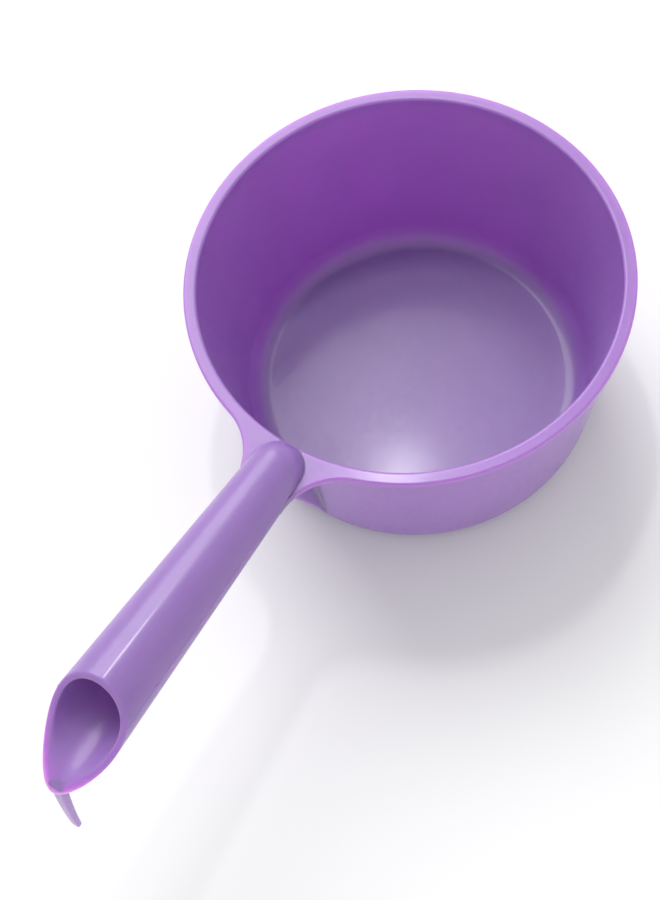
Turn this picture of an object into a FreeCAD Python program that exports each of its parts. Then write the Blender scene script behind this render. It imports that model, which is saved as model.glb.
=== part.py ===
import FreeCAD, Part
import os

import Sketcher

from FreeCAD import Placement, Rotation, Vector

# A round feed scoop, moulded in one shot in polypropylene and modelled region by region: each
# region is its own closed solid, and neighbours meet face to face.
# The origin is the middle of the underside of the bowl, where the scoop stands. +Z is up and +X
# runs from the bowl to the open end of the handle. All sizes are in millimetres.

doc = FreeCAD.newDocument("feed_scoop")

DIMENSIONS = {
    # bowl
    "bowl_height": 88.0,
    "rim_radius": 85.0,
    "bore_radius": 80.0,
    "lip_thickness": 2.6,
    "wall_thickness": 2.5,
    "base_radius": 73.0,
    "corner_radius": 12.0,
    "floor_thickness": 3.0,
    # web that spreads from the handle to the rim
    "web_reach": 104.0,
    "web_waist": 10.4,
    # handle
    "axis_drop": 1.3,
    "axis_rise": 8.0,
    "root_reach": 90.6,
    "nose_length": 13.4,
    "grip_length": 116.0,
    "root_radius": 10.2,
    "end_radius": 14.8,
    "grip_wall": 2.5,
    "mouth_station": 111.0,
    "mouth_tilt": 43.0,
    "mouth_bow": 60.0,
    # gusset under the handle's root
    "gusset_depth": 74.0,
    "gusset_width": 12.0,
    "gusset_foot": 5.0,
    "gusset_reach": 97.0,
    # hanging hook
    "hook_length": 41.0,
    "hook_width": 5.0,
    "hook_tip_width": 3.6,
    "hook_root": 3.8,
    "hook_tip": 2.2,
    "hook_lean": 5.0,
}

ORIGIN_POINT = (-1, 1)
H_AXIS = -1
V_AXIS = -2
SLACK = 25.0

sheet = doc.addObject("Spreadsheet::Sheet", "dimensions")
for row, (alias, value) in enumerate(DIMENSIONS.items(), start=1):
    sheet.set(f"A{row}", alias.replace("_", " "))
    sheet.set(f"B{row}", str(value))
    sheet.setAlias(f"B{row}", alias)
doc.recompute()


def bound(expression):
    """The expression with each dimension's name turned into a reference to its cell."""
    words = []
    for word in expression.split():
        words.append(f"dimensions.{word}" if word in DIMENSIONS else word)
    return " ".join(words)


def number(expression):
    return float(sheet.evalExpression(bound(expression)))


def bind(thing, **settings):
    """Ties properties to expressions; a double underscore stands for the dot in a path."""
    for path, expression in settings.items():
        thing.setExpression(path.replace("__", "."), bound(expression))
    return thing


def new_body(label):
    body = doc.addObject("PartDesign::Body", label)
    body.Label = label
    return body


def new_sketch(body, role):
    sketch = body.newObject("Sketcher::SketchObject", f"{body.Label}_outline")
    plane = next(f for f in body.Origin.OriginFeatures if f.Role == role)
    sketch.AttachmentSupport = (plane, [""])
    sketch.MapMode = "FlatFace"
    return sketch


def pin_coordinate(sketch, point, kind, axis, expression):
    """Holds one coordinate of a sketch point at an expression's value."""
    value = number(expression)
    if abs(value) < 1e-9:
        sketch.addConstraint(Sketcher.Constraint("PointOnObject", *point, axis))
        return
    index = sketch.addConstraint(Sketcher.Constraint(kind, *ORIGIN_POINT, *point, value))
    sketch.setExpression(f"Constraints[{index}]", bound(expression))


def outline(sketch, corners, arcs=None):
    """Draws a closed outline through corners given as expressions.

    arcs maps the number of a side to (radius, centre x, centre y); other sides are straight.
    """
    arcs = arcs or {}
    places = [Vector(number(x), number(y), 0) for x, y in corners]
    for side, start in enumerate(places):
        end = places[(side + 1) % len(places)]
        if side not in arcs:
            sketch.addGeometry(Part.LineSegment(start, end), False)
            continue
        radius, centre_x, centre_y = (number(text) for text in arcs[side])
        centre = Vector(centre_x, centre_y, 0)
        middle = (start + end) * 0.5 - centre
        middle.Length = radius
        if (start - centre).cross(end - centre).z < 0:
            start, end = end, start
        sketch.addGeometry(Part.Arc(start, centre + middle, end), False)
    ends = []
    for side, geometry in enumerate(sketch.Geometry):
        first = Vector(geometry.StartPoint.x, geometry.StartPoint.y, 0)
        ends.append((1, 2) if first.distanceToPoint(places[side]) < 1e-6 else (2, 1))
    for side in range(len(places)):
        following = (side + 1) % len(places)
        joint = Sketcher.Constraint(
            "Coincident", side, ends[side][1], following, ends[following][0]
        )
        sketch.addConstraint(joint)
    for side, (x, y) in enumerate(corners):
        point = (side, ends[side][0])
        pin_coordinate(sketch, point, "DistanceX", V_AXIS, x)
        pin_coordinate(sketch, point, "DistanceY", H_AXIS, y)
    for side, (radius, _, _) in arcs.items():
        index = sketch.addConstraint(Sketcher.Constraint("Radius", side, number(radius)))
        sketch.setExpression(f"Constraints[{index}]", bound(radius))


def revolved(body, axis, corners, arcs=None):
    sketch = new_sketch(body, "XZ_Plane")
    outline(sketch, corners, arcs)
    turn = body.newObject("PartDesign::Revolution", f"{body.Label}_turned")
    turn.Profile = sketch
    turn.ReferenceAxis = (sketch, [axis])
    turn.Angle = 360.0
    doc.recompute()
    return turn


def boolean(kind, label, base, tool):
    result = doc.addObject(f"Part::{kind}", label)
    result.Label = label
    result.Base = base
    result.Tool = tool
    return result


def circle_edges(feature, radius, height):
    """Names of the circular edges of one radius at one height."""
    names = []
    for place, edge in enumerate(feature.Shape.Edges, start=1):
        curve = edge.Curve
        if not isinstance(curve, Part.Circle):
            continue
        if abs(curve.Radius - radius) < 0.01 and abs(curve.Center.z - height) < 0.01:
            names.append(f"Edge{place}")
    return names


def round_edges(body, feature, name, radius, edges):
    fillet = body.newObject("PartDesign::Fillet", name)
    fillet.Base = (feature, edges)
    bind(fillet, Radius=radius)
    doc.recompute()
    return fillet


def on_handle_axis(thing):
    """Puts an object's own X axis on the handle's axis, with its origin in the nose."""
    thing.Placement = Placement(Vector(), Rotation(Vector(0, -1, 0), number("axis_rise")))
    bind(
        thing,
        Placement__Base__x="root_reach",
        Placement__Base__z="bowl_height - axis_drop",
        Placement__Rotation__Angle="axis_rise",
    )
    return thing


def cylinder(label, radius, height, bottom):
    thing = doc.addObject("Part::Cylinder", label)
    thing.Label = label
    bind(thing, Radius=radius, Height=height, Placement__Base__z=bottom)
    return thing


# --- Bowl: a tapered cup with a rounded corner, split into a floor disc and a wall ---------------

WALL_TOP = "bowl_height - lip_thickness"


def make_bowl():
    shell = new_body("bowl_shell")
    cup = revolved(
        shell,
        "V_Axis",
        [
            ("0", "0"),
            ("base_radius", "0"),
            ("bore_radius + wall_thickness", WALL_TOP),
            ("bore_radius", WALL_TOP),
            ("base_radius - wall_thickness", "floor_thickness"),
            ("0", "floor_thickness"),
        ],
    )
    outside = circle_edges(cup, number("base_radius"), 0.0)
    rounded = round_edges(shell, cup, "outside_corner", "corner_radius", outside)
    inner = number("base_radius - wall_thickness")
    inside = circle_edges(rounded, inner, number("floor_thickness"))
    shell.Tip = round_edges(
        shell, rounded, "inside_corner", "corner_radius - wall_thickness", inside
    )
    middle = cylinder("floor_zone", "base_radius - corner_radius", "bowl_height", "0")
    floor = boolean("Common", "bowl_floor", shell, middle)
    wall = boolean("Cut", "bowl_wall", shell, middle)
    return floor, wall


def make_bowl_outside():
    """The space inside the bowl's outer face, which keeps the handle's root out of the bowl."""
    solid = new_body("bowl_outside")
    revolved(
        solid,
        "V_Axis",
        [
            ("0", "0"),
            ("base_radius", "0"),
            ("bore_radius + wall_thickness", WALL_TOP),
            ("0", WALL_TOP),
        ],
    )
    return solid


# --- Rim: a flat lip turned outwards round the mouth of the bowl -------------------------------


def make_lip():
    disc = cylinder("lip_disc", "rim_radius", "lip_thickness", WALL_TOP)
    bore = cylinder("lip_bore", "bore_radius", "lip_thickness", WALL_TOP)
    return boolean("Cut", "rim_lip", disc, bore), disc


# --- Handle: a tapered tube with a domed nose at the bowl and a slanted open end -----------------

TAPER = "( ( end_radius - root_radius ) / grip_length )"
TUBE_END = f"( grip_length + {SLACK} )"

# the slanted mouth is cut by a drum that lies across the handle, this far along its axis and up
DRUM_ALONG = "( mouth_station + mouth_bow * cos( mouth_tilt ) )"
DRUM_UP = "( mouth_bow * sin( mouth_tilt ) )"

# where the drum meets the lowest line of the tube, which is the tip of the mouth
TIP_SQUARE = f"( 1 + {TAPER} ^ 2 )"
TIP_LINEAR = f"( {DRUM_ALONG} - {TAPER} * ( root_radius + {DRUM_UP} ) )"
TIP_REST = f"( {DRUM_ALONG} ^ 2 + ( root_radius + {DRUM_UP} ) ^ 2 - mouth_bow ^ 2 )"
TIP_STATION = (
    f"( ( {TIP_LINEAR} - sqrt( {TIP_LINEAR} ^ 2 - {TIP_SQUARE} * {TIP_REST} ) ) / {TIP_SQUARE} )"
)
TIP_RADIUS = f"( root_radius + {TAPER} * {TIP_STATION} )"


def make_tube_solid(label, inset):
    body = new_body(label)
    nose = f"( root_radius - {inset} )"
    revolved(
        body,
        "H_Axis",
        [
            (f"-1 * {nose}", "0"),
            ("0", nose),
            (TUBE_END, f"{nose} + {TAPER} * {TUBE_END}"),
            (TUBE_END, "0"),
        ],
        arcs={0: (nose, "0", "0")},
    )
    return on_handle_axis(body)


def make_nose_zone():
    body = new_body("nose_zone")
    revolved(
        body,
        "H_Axis",
        [
            ("-2 * root_radius", "0"),
            ("-2 * root_radius", "2 * root_radius"),
            ("nose_length", "2 * root_radius"),
            ("nose_length", "0"),
        ],
    )
    return on_handle_axis(body)


def make_mouth_cutter():
    """The drum that cuts the mouth hollow and slanted: the tube's underside runs on past its top."""
    drum = doc.addObject("Part::Cylinder", "mouth_cutter")
    drum.Label = "mouth_cutter"
    drum.Placement = Placement(Vector(), Rotation(Vector(1, 0, 0), -90))
    bind(
        drum,
        Radius="mouth_bow",
        Height="4 * end_radius",
        Placement__Base__x=(
            f"root_reach + {DRUM_ALONG} * cos( axis_rise ) - {DRUM_UP} * sin( axis_rise )"
        ),
        Placement__Base__y="-2 * end_radius",
        Placement__Base__z=(
            f"bowl_height - axis_drop + {DRUM_ALONG} * sin( axis_rise )"
            f" + {DRUM_UP} * cos( axis_rise )"
        ),
    )
    return drum


def make_handle(tube, lip, bowl_outside):
    bore = make_tube_solid("handle_bore", "grip_wall")
    shell = boolean("Cut", "handle_shell", tube, bore)
    cut_shell = boolean("Cut", "open_shell", shell, make_mouth_cutter())
    zone = make_nose_zone()
    grip = boolean("Cut", "handle_grip", cut_shell, zone)
    whole_nose = boolean("Common", "whole_nose", cut_shell, zone)
    nose_on_lip = boolean("Cut", "nose_on_lip", whole_nose, lip)
    nose = boolean("Cut", "handle_nose", nose_on_lip, bowl_outside)
    return grip, nose


# --- Web: a flat wing on each side, from the rim to the root of the handle ------------------------

FLARE = (
    "( ( web_reach ^ 2 + web_waist ^ 2 - rim_radius ^ 2 ) / ( 2 * ( rim_radius - web_waist ) ) )"
)


def make_web(lip_disc, tube):
    """The wing's edge is an arc that leaves the rim and the tube tangentially."""
    plate = new_body("wing_plate")
    sketch = new_sketch(plate, "XY_Plane")
    share = f"rim_radius / ( rim_radius + {FLARE} )"
    outline(
        sketch,
        [
            ("bore_radius", "0"),
            ("web_reach", "0"),
            ("web_reach", "web_waist"),
            (f"web_reach * {share}", f"( web_waist + {FLARE} ) * {share}"),
        ],
        arcs={2: (FLARE, "web_reach", f"web_waist + {FLARE}")},
    )
    pad = plate.newObject("PartDesign::Pad", "wing_pad")
    pad.Profile = sketch
    bind(pad, Length="lip_thickness")
    bind(plate, Placement__Base__z=WALL_TOP)
    doc.recompute()
    outside_rim = boolean("Cut", "wing_outside_rim", plate, lip_disc)
    left = boolean("Cut", "web_left", outside_rim, tube)
    right = doc.addObject("Part::Mirroring", "web_right")
    right.Label = "web_right"
    right.Source = left
    right.Base = Vector(0, 0, 0)
    right.Normal = Vector(0, 1, 0)
    return left, right


# --- Gusset and hook: two tapered blocks that hang from the handle --------------------------------


def hanging_wedge(label, x, z, width, depth, near, far, foot_width, foot_near, foot_far):
    """A block that hangs down from (x, z), from one rectangle to a smaller one below it."""
    wedge = doc.addObject("Part::Wedge", label)
    wedge.Label = label
    wedge.Placement = Placement(Vector(), Rotation(Vector(1, 0, 0), -90))
    bind(wedge, Placement__Base__x=x, Placement__Base__z=z)
    wedge.Ymin = 0
    bind(wedge, Ymax=depth, Xmin=near, Xmax=far, X2min=foot_near, X2max=foot_far)
    bind(wedge, Zmin=f"-0.5 * {width}", Zmax=f"0.5 * {width}")
    bind(wedge, Z2min=f"-0.5 * {foot_width}", Z2max=f"0.5 * {foot_width}")
    return wedge


def make_gusset(bowl_outside, tube):
    """A rib down the bowl's wall that ends flush with it."""
    lean = f"( bore_radius + wall_thickness - base_radius ) / ( {WALL_TOP} )"
    foot_reach = f"bore_radius + wall_thickness - gusset_depth * {lean}"
    block = hanging_wedge(
        "gusset_block",
        x="0",
        z=WALL_TOP,
        width="gusset_width",
        depth="gusset_depth",
        near="base_radius - corner_radius",
        far="gusset_reach",
        foot_width="gusset_foot",
        foot_near="base_radius - corner_radius",
        foot_far=foot_reach,
    )
    outside_bowl = boolean("Cut", "gusset_outside_bowl", block, bowl_outside)
    return boolean("Cut", "root_gusset", outside_bowl, tube)


def make_hook(tube):
    """A slim finger that hangs from the lowest point of the mouth and leans outwards a little."""
    sunk = "grip_wall"
    shift = f"( hook_length + {sunk} ) * tan( hook_lean )"
    block = hanging_wedge(
        "hook_block",
        x=f"root_reach + {TIP_STATION} * cos( axis_rise ) + {TIP_RADIUS} * sin( axis_rise )",
        z=(
            f"bowl_height - axis_drop + {TIP_STATION} * sin( axis_rise )"
            f" - {TIP_RADIUS} * cos( axis_rise ) + {sunk}"
        ),
        width="hook_width",
        depth=f"hook_length + {sunk}",
        near="-1 * hook_root",
        far="0",
        foot_width="hook_tip_width",
        foot_near=f"{shift} - hook_tip",
        foot_far=shift,
    )
    return boolean("Cut", "hanging_hook", block, tube)


# --- Assembly, checks and export ------------------------------------------------------------------


def check(nodes):
    for item in doc.Objects:
        if "Invalid" in item.State or "Error" in item.State:
            raise RuntimeError(f"{item.Label} failed: {item.State}")
    for node in nodes:
        if node.Shape.isNull() or not node.Shape.isValid():
            raise RuntimeError(f"{node.Label} has no valid shape")
        if len(node.Shape.Solids) != 1:
            raise RuntimeError(f"{node.Label} has {len(node.Shape.Solids)} solids")


def main():
    bowl_floor, bowl_wall = make_bowl()
    bowl_outside = make_bowl_outside()
    rim_lip, lip_disc = make_lip()
    tube = make_tube_solid("handle_outside", "0")
    grip, nose = make_handle(tube, rim_lip, bowl_outside)
    web_left, web_right = make_web(lip_disc, tube)
    gusset = make_gusset(bowl_outside, tube)
    hook = make_hook(tube)
    nodes = [
        bowl_floor, bowl_wall, rim_lip, web_left, web_right, nose, grip, gusset, hook,
    ]
    doc.recompute()
    check(nodes)
    os.makedirs("parts", exist_ok=True)
    for node in nodes:
        node.Shape.exportStep(f"parts/{node.Label}.step")
        size = node.Shape.BoundBox
        print(
            f"{node.Label}: {node.Shape.Volume / 1000:.2f} cm3,"
            f" x {size.XMin:.1f} to {size.XMax:.1f},"
            f" y {size.YMin:.1f} to {size.YMax:.1f},"
            f" z {size.ZMin:.1f} to {size.ZMax:.1f}"
        )


main()
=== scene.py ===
import math

import bpy
from mathutils import Matrix, Vector


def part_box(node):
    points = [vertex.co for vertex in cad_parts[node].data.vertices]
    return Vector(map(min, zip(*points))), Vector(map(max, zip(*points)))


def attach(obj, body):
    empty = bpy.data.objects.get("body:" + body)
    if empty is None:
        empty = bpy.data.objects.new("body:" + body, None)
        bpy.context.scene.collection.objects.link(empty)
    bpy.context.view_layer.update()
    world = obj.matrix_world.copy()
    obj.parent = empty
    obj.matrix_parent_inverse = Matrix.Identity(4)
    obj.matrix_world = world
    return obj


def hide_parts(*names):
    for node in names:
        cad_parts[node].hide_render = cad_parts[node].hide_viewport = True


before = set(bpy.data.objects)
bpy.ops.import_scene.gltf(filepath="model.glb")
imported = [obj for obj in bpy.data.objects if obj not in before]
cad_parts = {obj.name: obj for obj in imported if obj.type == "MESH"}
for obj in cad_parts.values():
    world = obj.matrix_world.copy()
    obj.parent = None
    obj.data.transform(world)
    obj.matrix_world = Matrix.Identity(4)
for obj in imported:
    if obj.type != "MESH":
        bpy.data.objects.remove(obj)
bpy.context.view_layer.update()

MM = 0.001

# ---------------------------------------------------------------------------------------------
# Bowl
# The deep tapered cup with its flat lip and the web that flares out to the handle. It is one
# wall of polypropylene about 2.5 mm thick, moulded in one shot with everything else, with every
# edge softly rounded and a shallow recess with the gate's scar under the floor.
# ---------------------------------------------------------------------------------------------

lip_low, lip_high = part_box("rim_lip")
RIM_RADIUS = lip_high.y
RIM_TOP = lip_high.z
LIP_UNDERSIDE = lip_low.z
WALL_THICKNESS = 2.5 * MM
BORE_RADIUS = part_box("bowl_wall")[1].y - WALL_THICKNESS
FLOOR_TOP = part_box("bowl_floor")[1].z
CORNER_RADIUS = 12 * MM
BASE_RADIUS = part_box("bowl_floor")[1].y + CORNER_RADIUS
WEB_REACH = 104 * MM
WEB_WAIST = 10.4 * MM

BORE_EDGE = 1.1 * MM
LIP_EDGE = 0.9 * MM
LIP_LOWER_EDGE = 0.6 * MM
LIP_FILLET = 1.2 * MM
NOSE_FILLET = 0.8 * MM
HIDDEN_EDGE = 0.05 * MM
FOOT_RING = 9 * MM
FOOT_RECESS = 0.5 * MM
GATE_SCAR = 2.2 * MM
GATE_WELL = 0.3 * MM
GATE_STUB_RADIUS = 0.88 * MM
GATE_STUB_HEIGHT = 0.45 * MM

# Bearings on the bore, from the handle's line, where the lines of points start that end at the
# nose's side, at the tube's side and at the web's waist.
NOSE_BEARING = math.radians(6.1)
TUBE_BEARING = math.radians(7.3)
WAIST_BEARING = math.radians(7.4)

# Along the web's concave side the stations crowd towards the waist, where the edge is sharp. It
# has its full radius once the arc has turned by FULL_EDGE_TURN radians.
FLARE_CROWDING = 1.5
BEARING_CROWDING = 1.6
FULL_EDGE_TURN = 0.28

# How finely the skin is divided: first round the outline, then from the floor up, over the lip
# and down to the foot.
NOSE_STATIONS = 14
TUBE_STATIONS = 8
FLARE_STATIONS = 60
RIM_STATIONS = 150
FLOOR_STEPS = 10
CORNER_STEPS = 14
WALL_STEPS = 26
BORE_EDGE_STEPS = 6
LIP_TOP_STEPS = 30
LIP_EDGE_STEPS = 5
LIP_LOWER_EDGE_STEPS = 4
LIP_UNDERSIDE_STEPS = 16
LIP_FILLET_STEPS = 5
FOOT_RING_STEPS = 3
RECESS_EDGE_STEPS = 6
RECESS_STEPS = 9
GATE_STEPS = 5

# The handle's tube, which the web flows into: a cone round an axis that rises from the bowl,
# with a dome of the same radius at the bowl's end.
AXIS_RISE = math.radians(8)
ROOT = Vector((90.6 * MM, 0, RIM_TOP - 1.3 * MM))
ROOT_RADIUS = 10.2 * MM
END_RADIUS = 14.8 * MM
GRIP_LENGTH = 116 * MM
GRIP_WALL = 2.5 * MM
TAPER = (END_RADIUS - ROOT_RADIUS) / GRIP_LENGTH


def grid_mesh(name, rows):
    """A closed skin through rows of points; the first and the last row are one point each."""
    vertices = []
    starts = []
    for row, points in enumerate(rows):
        starts.append(len(vertices))
        at_end = row in (0, len(rows) - 1)
        vertices.extend(points[:1] if at_end else points)
    around = len(rows[1])
    faces = []
    for row in range(len(rows) - 1):
        here, there = starts[row], starts[row + 1]
        for side in range(around):
            turn = (side + 1) % around
            if row == 0:
                faces.append((here, there + turn, there + side))
            elif row == len(rows) - 2:
                faces.append((here + side, here + turn, there))
            else:
                faces.append((here + side, here + turn, there + turn, there + side))
    mesh = bpy.data.meshes.new(name)
    mesh.from_pydata([tuple(v) for v in vertices], [], faces)
    mesh.validate()
    mesh.shade_smooth()
    piece = bpy.data.objects.new(name, mesh)
    bpy.context.collection.objects.link(piece)
    return piece


def spaced(count, first=False, last=True):
    """Fractions from 0 to 1, evenly spaced."""
    low = 0 if first else 1
    high = count + 1 if last else count
    return [i / count for i in range(low, high)]


def eased(fraction):
    """Crowds points towards both ends of a stretch."""
    return 0.5 - 0.5 * math.cos(math.pi * fraction)


def outline_stations():
    """Half of the bowl's outline in plan, from under the nose round to the far side.

    Each station is (outline point, outward normal, start angle on the bore, edge radius). The
    first ones run through the thickness of the handle's wall, where they can't be seen.
    """
    stations = []
    inside = GRIP_WALL / 2
    nose = ROOT_RADIUS - inside
    for part in spaced(NOSE_STATIONS, first=True):
        turn = math.pi / 2 * part
        point = Vector((ROOT.x - nose * math.cos(turn), nose * math.sin(turn), 0))
        normal = Vector((math.cos(turn), -math.sin(turn), 0))
        stations.append((point, normal, NOSE_BEARING * part, HIDDEN_EDGE))
    end = ROOT_RADIUS + TAPER * (WEB_REACH - ROOT.x) - inside
    for part in spaced(TUBE_STATIONS):
        x = ROOT.x + (WEB_REACH - ROOT.x) * part
        point = Vector((x, nose + (end - nose) * part, 0))
        angle = NOSE_BEARING + (TUBE_BEARING - NOSE_BEARING) * part
        stations.append((point, Vector((0, -1, 0)), angle, HIDDEN_EDGE))
    middle = Vector((WEB_REACH, (end + WEB_WAIST) / 2, 0))
    angle = (TUBE_BEARING + WAIST_BEARING) / 2
    stations.append((middle, Vector((1, 0, 0)), angle, HIDDEN_EDGE))
    flare = (WEB_REACH**2 + WEB_WAIST**2 - RIM_RADIUS**2) / (2 * (RIM_RADIUS - WEB_WAIST))
    centre = Vector((WEB_REACH, WEB_WAIST + flare, 0))
    sweep = math.atan2(centre.x, centre.y)
    rim_angle = math.pi / 2 - sweep
    for part in spaced(FLARE_STATIONS, first=True):
        turn = sweep * part**FLARE_CROWDING
        normal = Vector((math.sin(turn), math.cos(turn), 0))
        point = centre - normal * flare
        angle = WAIST_BEARING + (rim_angle - WAIST_BEARING) * part**BEARING_CROWDING
        shown = min(1, (turn / FULL_EDGE_TURN) ** 2)
        edge = HIDDEN_EDGE + (LIP_EDGE - HIDDEN_EDGE) * shown
        stations.append((point, normal, angle, edge))
    for part in spaced(RIM_STATIONS):
        angle = rim_angle + (math.pi - rim_angle) * part
        normal = Vector((math.cos(angle), math.sin(angle), 0))
        stations.append((normal * RIM_RADIUS, normal, angle, LIP_EDGE))
    return stations


def whole_outline():
    """The outline right round: one half, then its mirror image without the two shared ends."""
    half = outline_stations()
    mirrored = []
    for point, normal, angle, edge in reversed(half[1:-1]):
        flipped = Vector((point.x, -point.y, 0)), Vector((normal.x, -normal.y, 0))
        mirrored.append((*flipped, -angle, edge))
    return half + mirrored


def nose_rise(x, y, height, side):
    """How far the fillet lifts the web at (x, y) where it meets the nose and the tube.

    side is 1 for the web's top face and -1 for its underside.
    """
    along = max(0, (x - ROOT.x) / math.cos(AXIS_RISE))
    radius = ROOT_RADIUS + TAPER * along
    above = side * (height - ROOT.z - along * math.sin(AXIS_RISE))
    beside = abs(y) if x > ROOT.x else math.hypot(x - ROOT.x, y)
    start = math.sqrt((radius + NOSE_FILLET) ** 2 - (NOSE_FILLET + above) ** 2)
    end = start * radius / (radius + NOSE_FILLET)
    reach = start - max(beside, end)
    if reach <= 0:
        return 0
    return side * (NOSE_FILLET - math.sqrt(NOSE_FILLET**2 - reach**2))


def quarter(radius, count):
    """(run, rise) pairs of a quarter turn from level to upright."""
    turns = [math.pi / 2 * part for part in spaced(count, first=True)]
    return [(radius * math.sin(t), radius * (1 - math.cos(t))) for t in turns]


def make_bowl_rows():
    """Rows of points from the middle of the floor, up, over the lip and down to the gate's scar."""
    stations = whole_outline()
    bore = [Vector((math.cos(a), math.sin(a), 0)) for _, _, a, _ in stations]

    def ring(radius, height):
        return [direction * radius + Vector((0, 0, height)) for direction in bore]

    rows = [ring(0, FLOOR_TOP)]

    # inside: floor, corner, wall and the rounded edge of the bore
    slope = math.atan2(BORE_RADIUS + WALL_THICKNESS - BASE_RADIUS, LIP_UNDERSIDE)
    inner_corner = CORNER_RADIUS - WALL_THICKNESS
    inner_base = BASE_RADIUS - WALL_THICKNESS
    inner_slope = math.atan2(BORE_RADIUS - inner_base, LIP_UNDERSIDE - FLOOR_TOP)
    setback = inner_corner * math.tan((math.pi / 2 - inner_slope) / 2)
    for part in spaced(FLOOR_STEPS):
        rows.append(ring((inner_base - setback) * part, FLOOR_TOP))
    for part in spaced(CORNER_STEPS):
        turn = (math.pi / 2 - inner_slope) * part
        rows.append(
            ring(
                inner_base - setback + inner_corner * math.sin(turn),
                FLOOR_TOP + inner_corner * (1 - math.cos(turn)),
            )
        )
    corner_top = FLOOR_TOP + inner_corner * (1 - math.sin(inner_slope))
    corner_out = inner_base - setback + inner_corner * math.cos(inner_slope)
    for part in spaced(WALL_STEPS):
        height = corner_top + (LIP_UNDERSIDE - corner_top) * part
        rows.append(ring(corner_out + (BORE_RADIUS - corner_out) * part, height))
    for run, rise in reversed(quarter(BORE_EDGE, BORE_EDGE_STEPS)):
        row = []
        for direction in bore:
            place = direction * (BORE_RADIUS + BORE_EDGE - run)
            place.z = RIM_TOP + nose_rise(place.x, place.y, RIM_TOP, 1) - rise
            row.append(place)
        rows.append(row)

    # top: out to the outline, then round its edge and down
    lip_start = BORE_RADIUS + BORE_EDGE
    for part in spaced(LIP_TOP_STEPS):
        row = []
        for (point, normal, _, edge), direction in zip(stations, bore):
            start = direction * lip_start
            place = start + (point - normal * edge - start) * eased(part)
            place.z = RIM_TOP + nose_rise(place.x, place.y, RIM_TOP, 1)
            row.append(place)
        rows.append(row)
    for part in spaced(LIP_EDGE_STEPS):
        turn = math.pi / 2 * part
        row = []
        for point, normal, _, edge in stations:
            place = point - normal * edge * (1 - math.sin(turn))
            drop = edge * (1 - math.cos(turn))
            place.z = RIM_TOP + nose_rise(place.x, place.y, RIM_TOP, 1) - drop
            row.append(place)
        rows.append(row)

    # underside: the lower edge, then back in to the wall
    lower = LIP_LOWER_EDGE / LIP_EDGE
    for part in spaced(LIP_LOWER_EDGE_STEPS, first=True):
        turn = math.pi / 2 * part
        row = []
        for point, normal, _, edge in stations:
            place = point - normal * edge * lower * (1 - math.cos(turn))
            climb = edge * lower * (1 - math.sin(turn))
            place.z = LIP_UNDERSIDE + nose_rise(place.x, place.y, LIP_UNDERSIDE, -1) + climb
            row.append(place)
        rows.append(row)
    wall_top = BORE_RADIUS + WALL_THICKNESS
    fillet_start = wall_top + LIP_FILLET
    for part in spaced(LIP_UNDERSIDE_STEPS):
        row = []
        for (point, normal, _, edge), direction in zip(stations, bore):
            start = point - normal * edge * lower
            end = direction * min(fillet_start, start.length)
            place = start + (end - start) * eased(part)
            place.z = LIP_UNDERSIDE + nose_rise(place.x, place.y, LIP_UNDERSIDE, -1)
            row.append(place)
        rows.append(row)
    for run, rise in quarter(LIP_FILLET, LIP_FILLET_STEPS)[1:]:
        rows.append(ring(fillet_start - run, LIP_UNDERSIDE - rise))

    # outside: wall, corner, foot ring and the recess with the gate's scar
    outer_setback = CORNER_RADIUS * math.tan((math.pi / 2 - slope) / 2)
    corner_height = CORNER_RADIUS * (1 - math.sin(slope))
    corner_radius = BASE_RADIUS - outer_setback + CORNER_RADIUS * math.cos(slope)
    fillet_foot = LIP_UNDERSIDE - LIP_FILLET
    for part in spaced(WALL_STEPS):
        height = fillet_foot + (corner_height - fillet_foot) * part
        rows.append(ring(wall_top + (corner_radius - wall_top) * part, height))
    for part in spaced(CORNER_STEPS):
        turn = slope + (math.pi / 2 - slope) * part
        rows.append(
            ring(
                BASE_RADIUS - outer_setback + CORNER_RADIUS * math.cos(turn),
                CORNER_RADIUS * (1 - math.sin(turn)),
            )
        )
    ring_inside = BASE_RADIUS - outer_setback - FOOT_RING
    for part in spaced(FOOT_RING_STEPS):
        rows.append(ring(ring_inside + FOOT_RING * (1 - part), 0))
    for part in spaced(RECESS_EDGE_STEPS):
        rows.append(ring(ring_inside - 2 * FOOT_RECESS * part, FOOT_RECESS * eased(part)))
    recess_out = ring_inside - 2 * FOOT_RECESS
    for part in spaced(RECESS_STEPS):
        rows.append(ring(recess_out + (2 * GATE_SCAR - recess_out) * part, FOOT_RECESS))
    for part in spaced(GATE_STEPS):
        rows.append(ring(GATE_SCAR * (2 - part), FOOT_RECESS + GATE_WELL * eased(part)))
    well_top = FOOT_RECESS + GATE_WELL
    for part in spaced(GATE_STEPS):
        radius = GATE_SCAR + (GATE_STUB_RADIUS - GATE_SCAR) * part
        rows.append(ring(radius, well_top - GATE_STUB_HEIGHT * eased(part)))
    rows.append(ring(0, well_top - GATE_STUB_HEIGHT))
    return rows


DEEP_LILAC = (0.29, 0.168, 0.455, 1)
PALE_LILAC = (0.315, 0.184, 0.485, 1)
BOWL_GLOW_DEPTH = 10 * MM


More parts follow.
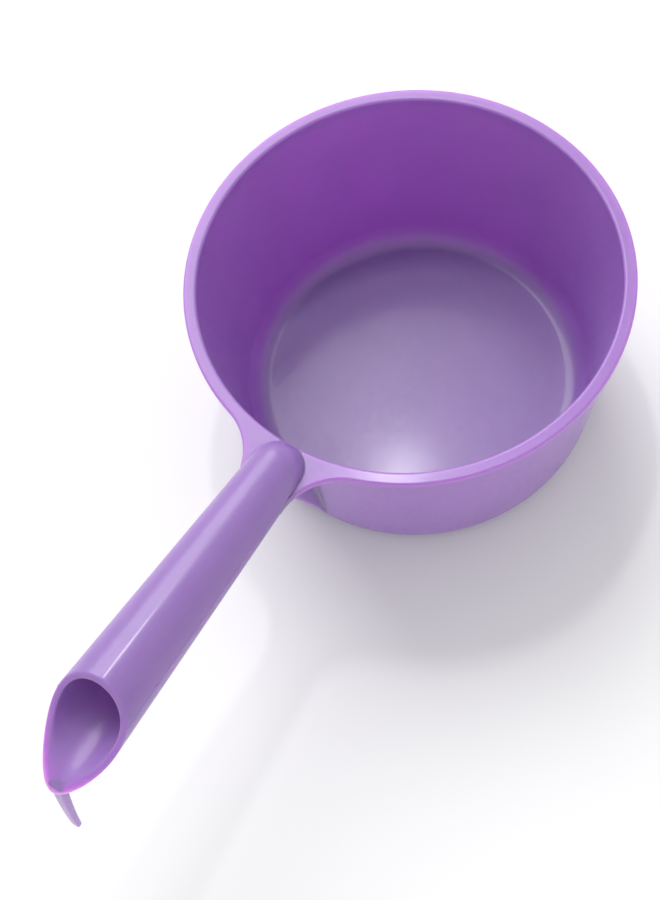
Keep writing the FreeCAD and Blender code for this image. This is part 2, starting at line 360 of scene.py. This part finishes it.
def make_lilac_plastic(name, glow_depth):
    """Glossy lilac polypropylene, slightly cloudy, with the faint skin that a mould leaves.

    glow_depth is how far light travels inside it.
    """
    material = bpy.data.materials.new(name)
    material.use_nodes = True
    nodes, links = material.node_tree.nodes, material.node_tree.links
    shader = nodes["Principled BSDF"]
    place = nodes.new("ShaderNodeTexCoord")

    # colour: pigment that is not quite evenly mixed, in clouds two or three centimetres across
    clouds = nodes.new("ShaderNodeTexNoise")
    clouds.inputs["Scale"].default_value = 38
    clouds.inputs["Detail"].default_value = 4
    links.new(place.outputs["Object"], clouds.inputs["Vector"])
    pigment = nodes.new("ShaderNodeValToRGB")
    pigment.color_ramp.elements[0].position = 0.3
    pigment.color_ramp.elements[0].color = DEEP_LILAC
    pigment.color_ramp.elements[1].position = 0.7
    pigment.color_ramp.elements[1].color = PALE_LILAC
    links.new(clouds.outputs["Fac"], pigment.inputs["Fac"])
    links.new(pigment.outputs["Color"], shader.inputs["Base Color"])

    # gloss: a little uneven, with fine rubbed marks
    rubs = nodes.new("ShaderNodeTexNoise")
    rubs.inputs["Scale"].default_value = 420
    rubs.inputs["Detail"].default_value = 6
    rubs.inputs["Roughness"].default_value = 0.7
    links.new(place.outputs["Object"], rubs.inputs["Vector"])
    gloss = nodes.new("ShaderNodeMapRange")
    gloss.inputs["From Min"].default_value = 0.3
    gloss.inputs["From Max"].default_value = 0.7
    gloss.inputs["To Min"].default_value = 0.32
    gloss.inputs["To Max"].default_value = 0.42
    links.new(rubs.outputs["Fac"], gloss.inputs["Value"])
    links.new(gloss.outputs["Result"], shader.inputs["Roughness"])

    # skin: long soft ripple of the moulded wall under a very fine grain
    ripple = nodes.new("ShaderNodeTexNoise")
    ripple.inputs["Scale"].default_value = 55
    ripple.inputs["Detail"].default_value = 2
    links.new(place.outputs["Object"], ripple.inputs["Vector"])
    grain = nodes.new("ShaderNodeTexNoise")
    grain.inputs["Scale"].default_value = 2600
    grain.inputs["Detail"].default_value = 3
    links.new(place.outputs["Object"], grain.inputs["Vector"])
    swell = nodes.new("ShaderNodeBump")
    swell.inputs["Strength"].default_value = 0.35
    swell.inputs["Distance"].default_value = 0.25 * MM
    links.new(ripple.outputs["Fac"], swell.inputs["Height"])
    skin = nodes.new("ShaderNodeBump")
    skin.inputs["Strength"].default_value = 0.25
    skin.inputs["Distance"].default_value = 0.02 * MM
    links.new(grain.outputs["Fac"], skin.inputs["Height"])
    links.new(swell.outputs["Normal"], skin.inputs["Normal"])
    links.new(skin.outputs["Normal"], shader.inputs["Normal"])

    shader.inputs["IOR"].default_value = 1.49
    shader.inputs["Coat Weight"].default_value = 0.25
    shader.inputs["Coat Roughness"].default_value = 0.14
    shader.inputs["Subsurface Weight"].default_value = 1.0
    shader.inputs["Subsurface Radius"].default_value = (1.0, 0.35, 0.85)
    shader.inputs["Subsurface Scale"].default_value = glow_depth
    return material


lilac_plastic = make_lilac_plastic("lilac_polypropylene", BOWL_GLOW_DEPTH)

bowl = grid_mesh("bowl", make_bowl_rows())
bowl.data.materials.append(lilac_plastic)
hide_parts("bowl_floor", "bowl_wall", "rim_lip", "web_left", "web_right")
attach(bowl, "root")

# ---------------------------------------------------------------------------------------------
# Handle
# A hollow tapered tube, closed by a dome at the bowl and open at the far end, where it is cut
# off on a slant. The two halves of the mould leave a fine raised line down each side, with a
# few nibs of flash on one of them.
# ---------------------------------------------------------------------------------------------

MOUTH_STATION = 111 * MM
MOUTH_TILT = math.radians(43)
MOUTH_BOW = 60 * MM
MOUTH_EDGE = 0.8 * MM
TIP_SLOPE = 7 * MM
TIP_THINNING = 0.85
TIP_SPREAD = 3
SEAM_ANGLE = math.radians(12)
SEAM_HALF_WIDTH = math.radians(1.3)
SEAM_HEIGHT = 0.16 * MM
SEAM_ROUNDING = 1.5
NIBS = (0.31, 0.59, 0.765, 0.84)
NIB_HEIGHT = 0.4 * MM
NIB_LENGTH = 0.9 * MM
HANDLE_GLOW_DEPTH = 6 * MM

# How finely the skin is divided: round the tube, beside a mould line, and along a line of points
# from the nose to the mouth and back inside.
TURNS_ROUND = 96
SEAM_LINES = 6
SEAM_LINE_GAP = SEAM_HALF_WIDTH / 3
SEAM_CLEARANCE = 2.6 * SEAM_HALF_WIDTH
DOME_STEPS = 16
TUBE_STEPS = 230
MOUTH_EDGE_STEPS = 6
MOUTH_FACE_STEPS = 3
MOUTH_BORE_STEPS = 14
TUBE_BORE_STEPS = 60
BORE_DOME_STEPS = 10
SETTLING_PASSES = 12

handle_place = Matrix.Translation(ROOT) @ Matrix.Rotation(-AXIS_RISE, 4, "Y")


def tube_point(along, radius, turn):
    """A point of the tube, in the part's frame; turn 0 faces +Y and a quarter turn faces up."""
    local = Vector((along, radius * math.cos(turn), radius * math.sin(turn)))
    return handle_place @ local


def mouth_reach(height):
    """How far along the axis the slanted mouth lies at a height above it.

    The mouth is hollowed by a drum that lies across the handle.
    """
    rise = height - MOUTH_BOW * math.sin(MOUTH_TILT)
    drum = MOUTH_STATION + MOUTH_BOW * math.cos(MOUTH_TILT)
    return drum - math.sqrt(MOUTH_BOW**2 - rise**2)


def mouth_end(turn, inset):
    """(along, radius) where the tube's surface, inset into its wall, meets the mouth.

    Each pass brings the radius nearer to the one at the place found.
    """
    along = GRIP_LENGTH
    for _ in range(SETTLING_PASSES):
        radius = ROOT_RADIUS - inset + TAPER * along
        along = mouth_reach(radius * math.sin(turn))
    return along, ROOT_RADIUS - inset + TAPER * along


def turns_round_the_tube():
    """Angles round the tube, closer together at the two mould lines."""
    turns = {round(2 * math.pi * i / TURNS_ROUND, 6) for i in range(TURNS_ROUND)}
    for seam in (SEAM_ANGLE, math.pi - SEAM_ANGLE):
        turns = {t for t in turns if abs(t - seam) > SEAM_CLEARANCE}
        for step in range(-SEAM_LINES, SEAM_LINES + 1):
            turns.add(round(seam + SEAM_LINE_GAP * step, 6))
    return sorted(turns)


def seam_height(turn, share):
    """Height of the mould line's ridge at this angle and share of the tube's length."""
    for seam, nibs in ((SEAM_ANGLE, NIBS), (math.pi - SEAM_ANGLE, ())):
        across = abs(turn - seam) / SEAM_HALF_WIDTH
        if across >= 1:
            continue
        top = SEAM_HEIGHT
        for place in nibs:
            away = abs(share - place) * GRIP_LENGTH / NIB_LENGTH
            top += NIB_HEIGHT * max(0, 1 - away**2)
        return top * (1 - across**2) ** SEAM_ROUNDING
    return 0


def between(first, last, part):
    """The point that lies this share of the way from the first to the last."""
    return tuple(a + (b - a) * part for a, b in zip(first, last))


def rounded(first, corner, last, count):
    """Points of a soft corner between two points, pulled towards a third."""
    points = []
    for part in spaced(count):
        points.append(between(between(first, corner, part), between(corner, last, part), part))
    return points


def tube_column(turn):
    """One line of points from the nose's tip, along the outside and back along the bore.

    Towards the mouth's lowest point the rim turns into a long slope, so that the tip is thin.
    """
    line = [(-ROOT_RADIUS, 0)]
    for part in spaced(DOME_STEPS):
        bend = math.pi / 2 * part
        line.append((-ROOT_RADIUS * math.cos(bend), ROOT_RADIUS * math.sin(bend)))
    outer_end, outer_radius = mouth_end(turn, 0)
    inner_end, inner_radius = mouth_end(turn, GRIP_WALL)
    body = outer_end - MOUTH_EDGE
    for part in spaced(TUBE_STEPS):
        along = body * part
        line.append((along, ROOT_RADIUS + TAPER * along + seam_height(turn, part)))
    corner = (outer_end, outer_radius)
    inner_corner = (inner_end, inner_radius)
    span = math.dist(corner, inner_corner)
    towards = [(b - a) / span for a, b in zip(corner, inner_corner)]
    tip = max(0, -math.sin(turn)) ** TIP_SPREAD
    flat = (span - 2 * MOUTH_EDGE) * (1 - TIP_THINNING * tip)
    face_start = tuple(a + MOUTH_EDGE * t for a, t in zip(corner, towards))
    face_end = tuple(a + flat * t for a, t in zip(face_start, towards))
    line += rounded(line[-1], corner, face_start, MOUTH_EDGE_STEPS)
    line += [between(face_start, face_end, part) for part in spaced(MOUTH_FACE_STEPS)]
    bore_start = inner_end - MOUTH_EDGE - TIP_SLOPE * tip
    bore_radius = ROOT_RADIUS - GRIP_WALL
    bore_edge = (bore_start, bore_radius + TAPER * bore_start)
    line += rounded(face_end, inner_corner, bore_edge, MOUTH_BORE_STEPS)
    for part in spaced(TUBE_BORE_STEPS):
        along = bore_start * (1 - part)
        line.append((along, bore_radius + TAPER * along))
    for part in spaced(BORE_DOME_STEPS):
        bend = math.pi / 2 * (1 - part)
        line.append((-bore_radius * math.cos(bend), bore_radius * math.sin(bend)))
    return [tube_point(along, radius, turn) for along, radius in line]


columns = [tube_column(turn) for turn in turns_round_the_tube()]
handle = grid_mesh("handle", [list(row) for row in zip(*columns)])
handle_plastic = make_lilac_plastic("lilac_polypropylene_grip", HANDLE_GLOW_DEPTH)
handle.data.materials.append(handle_plastic)
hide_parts("handle_nose", "handle_grip")
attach(handle, "root")

# ---------------------------------------------------------------------------------------------
# Gusset
# The tapered rib under the handle's root, moulded against the bowl's wall. It is widest at the
# top, where it disappears into the tube, and thins out to nothing down the wall.
# ---------------------------------------------------------------------------------------------

gusset_low, gusset_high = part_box("root_gusset")
GUSSET_REACH = 97 * MM
GUSSET_FOOT_HALF_WIDTH = 2.5 * MM
GUSSET_EDGE = 1.3 * MM
GUSSET_FILLET = 1.4 * MM
GUSSET_SUNK = 1.2 * MM
GUSSET_LEAST_DEPTH = 0.02 * MM
GUSSET_LEVELS = 60
GUSSET_SIDE_STEPS = 6
GUSSET_FACE_STEPS = 3


def wall_radius(height):
    """Radius of the bowl's outer face at a height above its corner."""
    top = BORE_RADIUS + WALL_THICKNESS
    return BASE_RADIUS + (top - BASE_RADIUS) * height / LIP_UNDERSIDE


def gusset_section(part):
    """The rib's outline at one level, from one side's root over its edge to the other's."""
    height = LIP_UNDERSIDE + (gusset_low.z - LIP_UNDERSIDE) * part
    half_width = gusset_high.y + (GUSSET_FOOT_HALF_WIDTH - gusset_high.y) * part
    wall = wall_radius(height)
    face = GUSSET_REACH + (wall_radius(gusset_low.z) - GUSSET_REACH) * part
    depth = max(GUSSET_LEAST_DEPTH, face - wall)
    fillet = min(GUSSET_FILLET, depth / 2)
    edge = min(GUSSET_EDGE, depth / 2)
    side = [(wall - GUSSET_SUNK, half_width + fillet)]
    for step in spaced(GUSSET_SIDE_STEPS, first=True):
        turn = math.pi / 2 * step
        reach = wall + fillet * (1 - math.cos(turn))
        side.append((reach, half_width + fillet * (1 - math.sin(turn))))
    for step in spaced(GUSSET_SIDE_STEPS, last=False):
        side.append((wall + fillet + (depth - fillet - edge) * step, half_width))
    for step in spaced(GUSSET_SIDE_STEPS, first=True):
        turn = math.pi / 2 * step
        side.append((face - edge * (1 - math.sin(turn)), half_width - edge * (1 - math.cos(turn))))
    for step in spaced(GUSSET_FACE_STEPS, last=False):
        side.append((face, (half_width - edge) * (1 - step)))
    points = [Vector((x, y, height)) for x, y in side]
    points.append(Vector((face, 0, height)))
    points += [Vector((x, -y, height)) for x, y in reversed(side)]
    return points


def shut_ends(sections):
    """Adds a single middle point before the first and after the last section."""
    first = sum(sections[0], Vector()) / len(sections[0])
    last = sum(sections[-1], Vector()) / len(sections[-1])
    around = len(sections[0])
    return [[first] * around] + sections + [[last] * around]


gusset_sections = [gusset_section(part) for part in spaced(GUSSET_LEVELS, first=True)]
gusset = grid_mesh("root_gusset_rib", shut_ends(gusset_sections))
gusset.data.materials.append(lilac_plastic)
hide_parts("root_gusset")
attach(gusset, "root")

# ---------------------------------------------------------------------------------------------
# Hook
# A slim finger that hangs from the lowest point of the mouth, so that the scoop can be hung over
# the edge of a bin. It is moulded with the tube and gets thinner and narrower towards its end.
# ---------------------------------------------------------------------------------------------

hook_low, hook_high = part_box("hanging_hook")
HOOK_ROOT_THICKNESS = 3.8 * MM
HOOK_TIP_THICKNESS = 2.2 * MM
HOOK_TIP_WIDTH = 3.6 * MM
HOOK_EDGE = 0.8 * MM
HOOK_FLARE = 0.5 * MM
HOOK_FLARE_LENGTH = 3 * MM
HOOK_TUCK = 2.2 * MM
HOOK_SUNK = 0.15 * MM
HOOK_LEAST_EDGE = 0.1 * MM
HOOK_LEAN = math.radians(5)
HOOK_LEVELS = 50
HOOK_CORNER_STEPS = 5
HOOK_END_STEPS = 5
hook_width = hook_high.y - hook_low.y
hook_length = hook_high.z - hook_low.z


def under_tube(x, y):
    """Height of the tube's underside at (x, y)."""
    drop = END_RADIUS
    for _ in range(SETTLING_PASSES):
        along = (x - ROOT.x - drop * math.sin(AXIS_RISE)) / math.cos(AXIS_RISE)
        drop = math.sqrt((ROOT_RADIUS + TAPER * along) ** 2 - y**2)
    return ROOT.z + along * math.sin(AXIS_RISE) - drop * math.cos(AXIS_RISE)


def hook_section(depth, shrink=0):
    """The finger's rounded outline at a depth below its root, front face first."""
    part = depth / hook_length
    flare = HOOK_FLARE * max(0, 1 - depth / HOOK_FLARE_LENGTH) ** 2
    tuck = HOOK_TUCK * (1 - part) ** 2
    thickness = HOOK_ROOT_THICKNESS + (HOOK_TIP_THICKNESS - HOOK_ROOT_THICKNESS) * part
    width = hook_width + (HOOK_TIP_WIDTH - hook_width) * part
    front = hook_high.x - (hook_length - depth) * math.tan(HOOK_LEAN)
    middle = front - tuck - thickness / 2
    half_depth = thickness / 2 - shrink
    half_width = width / 2 + flare - shrink
    edge = max(HOOK_EDGE - shrink / 2, HOOK_LEAST_EDGE)
    points = []
    for corner_x, corner_y, start in ((1, 1, 0), (-1, 1, 1), (-1, -1, 2), (1, -1, 3)):
        for step in spaced(HOOK_CORNER_STEPS, first=True):
            turn = math.pi / 2 * (start + step)
            x = middle + corner_x * (half_depth - edge) + edge * math.cos(turn)
            y = corner_y * (half_width - edge) + edge * math.sin(turn)
            height = min(hook_high.z - depth, under_tube(x, y) + HOOK_SUNK)
            points.append(Vector((x, y, height)))
    return points


hook_straight = hook_length - HOOK_EDGE
hook_sections = [hook_section(hook_straight * part) for part in spaced(HOOK_LEVELS, first=True)]
for run, rise in quarter(HOOK_EDGE, HOOK_END_STEPS)[1:]:
    hook_sections.append(hook_section(hook_straight + run, rise))
hook = grid_mesh("hook_finger", shut_ends(hook_sections))
hook.data.materials.append(handle_plastic)
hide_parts("hanging_hook")
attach(hook, "root")

# ---------------------------------------------------------------------------------------------
# Studio
# A pale floor under the scoop, a broad soft light from one side, a small strip that puts the
# bright line on the handle, and a camera that looks down over the bowl.
# ---------------------------------------------------------------------------------------------

FLOOR_SIZE = 40.0
FLOOR_WHITE = (0.9, 0.9, 0.9, 1)
FLOOR_ROUGHNESS = 0.9
AIM = Vector((60.6 * MM, -0.9 * MM, 44 * MM))
CAMERA_AZIMUTH = math.radians(134.4)
CAMERA_ELEVATION = math.radians(65.5)
CAMERA_ROLL = math.radians(13.2)
CAMERA_DISTANCE = 591 * MM
CAMERA_LENS = 60.8
KEY_FROM = Vector((-0.6, -0.9, 1.15))
KEY_STRENGTH = 1.6
KEY_SPREAD = math.radians(40)
STRIP_PLACE = Vector((-0.259, -0.225, 0.983))
STRIP_AIM = Vector((0.17, 0, 0.1))
STRIP_WIDTH = 0.035
STRIP_LENGTH = 0.11
STRIP_POWER = 1.3
SKY_WHITE = (1, 1, 1, 1)
SKY_STRENGTH = 0.75


def make_floor():
    half = FLOOR_SIZE / 2
    mesh = bpy.data.meshes.new("floor")
    corners = [(-half, -half, 0), (half, -half, 0), (half, half, 0), (-half, half, 0)]
    mesh.from_pydata(corners, [], [(0, 1, 2, 3)])
    floor = bpy.data.objects.new("floor", mesh)
    bpy.context.collection.objects.link(floor)
    paper = bpy.data.materials.new("white_paper")
    paper.use_nodes = True
    shader = paper.node_tree.nodes["Principled BSDF"]
    shader.inputs["Base Color"].default_value = FLOOR_WHITE
    shader.inputs["Roughness"].default_value = FLOOR_ROUGHNESS
    floor.data.materials.append(paper)


def place_light(light, place, aim):
    """Puts a light at a place and points it at another."""
    lamp = bpy.data.objects.new(light.name, light)
    lamp.location = place
    lamp.rotation_euler = (aim - place).to_track_quat("-Z", "Y").to_euler()
    bpy.context.collection.objects.link(lamp)


def make_key():
    key = bpy.data.lights.new("key", "SUN")
    key.energy = KEY_STRENGTH
    key.angle = KEY_SPREAD
    place_light(key, AIM + KEY_FROM, AIM)


def make_strip():
    strip = bpy.data.lights.new("strip", "AREA")
    strip.shape = "RECTANGLE"
    strip.size = STRIP_WIDTH
    strip.size_y = STRIP_LENGTH
    strip.energy = STRIP_POWER
    place_light(strip, STRIP_PLACE, STRIP_AIM)


def make_camera():
    away = Vector(
        (
            math.sin(CAMERA_AZIMUTH) * math.cos(CAMERA_ELEVATION),
            -math.cos(CAMERA_AZIMUTH) * math.cos(CAMERA_ELEVATION),
            math.sin(CAMERA_ELEVATION),
        )
    )
    lens = bpy.data.cameras.new("camera")
    lens.lens = CAMERA_LENS
    camera = bpy.data.objects.new("camera", lens)
    upright = (-away).to_track_quat("-Z", "Y").to_matrix()
    rolled = upright @ Matrix.Rotation(-CAMERA_ROLL, 3, "Z")
    camera.matrix_world = Matrix.Translation(AIM + away * CAMERA_DISTANCE) @ rolled.to_4x4()
    bpy.context.collection.objects.link(camera)
    bpy.context.scene.camera = camera


def make_sky():
    sky = bpy.data.worlds.new("studio")
    sky.use_nodes = True
    glow = sky.node_tree.nodes["Background"]
    glow.inputs["Color"].default_value = SKY_WHITE
    glow.inputs["Strength"].default_value = SKY_STRENGTH
    bpy.context.scene.world = sky


make_floor()
make_key()
make_strip()
make_camera()
make_sky()
bpy.context.scene.view_settings.view_transform = "Standard"
